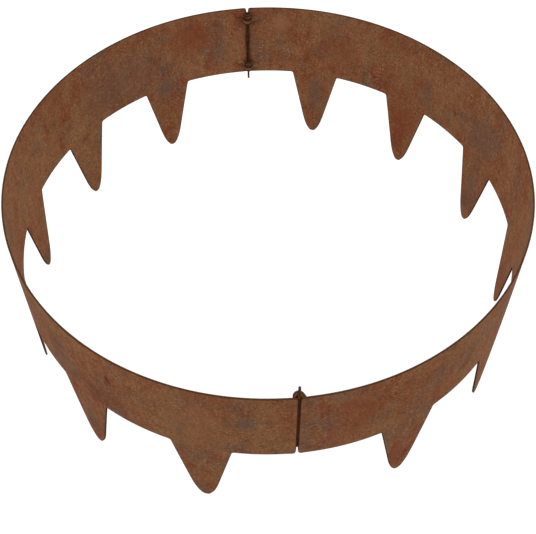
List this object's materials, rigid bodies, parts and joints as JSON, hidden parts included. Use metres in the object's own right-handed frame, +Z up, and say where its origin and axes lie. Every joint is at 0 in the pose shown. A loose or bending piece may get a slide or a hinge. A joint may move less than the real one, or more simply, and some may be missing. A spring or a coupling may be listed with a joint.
{
  "type": "garden edging ring",
  "caption": "Round garden edging of rusted steel: two rolled half panels with spikes below, hinged and locked by wire pins through strap eyes.",
  "frame": {"origin": "middle of the ring, level with the spikes' tips", "axes": "+Z up along the ring's axis, +Y to the back seam, -Y to the front seam, +X to the right half"},
  "size_m": [0.641, 0.639, 0.258],
  "materials": {
    "panel_steel": "weathering steel with a matte mottled rust patina",
    "eye_strap": "rusted flat bar, same patina as the panels",
    "pin_wire": "dark scaled steel wire with light rust"
  },
  "bodies": {
    "left_half": {"left_half_panel": "panel_steel", "left_back_upper_eye": "eye_strap", "left_back_lower_eye": "eye_strap", "left_front_upper_eye": "eye_strap", "left_front_lower_eye": "eye_strap"},
    "right_half": {"right_half_panel": "panel_steel", "right_back_upper_eye": "eye_strap", "right_back_lower_eye": "eye_strap", "right_front_upper_eye": "eye_strap", "right_front_lower_eye": "eye_strap"},
    "back_pin": {"back_pin": "pin_wire"},
    "front_pin": {"front_pin": "pin_wire"}
  },
  "joints": [
    {"name": "right_half_swing", "type": "hinge", "parent": "left_half", "child": "right_half", "pos_m": [0, 0.31556, 0.182], "axis": [0, 0, 1], "range_deg": [0, 25]},
    {"name": "back_pin_lift", "type": "slide", "parent": "left_half", "child": "back_pin", "axis": [0, 0, 1], "range_m": [0, 0.127]},
    {"name": "front_pin_lift", "type": "slide", "parent": "left_half", "child": "front_pin", "axis": [0, 0, 1], "range_m": [-0.0215, 0.1055]}
  ]
}
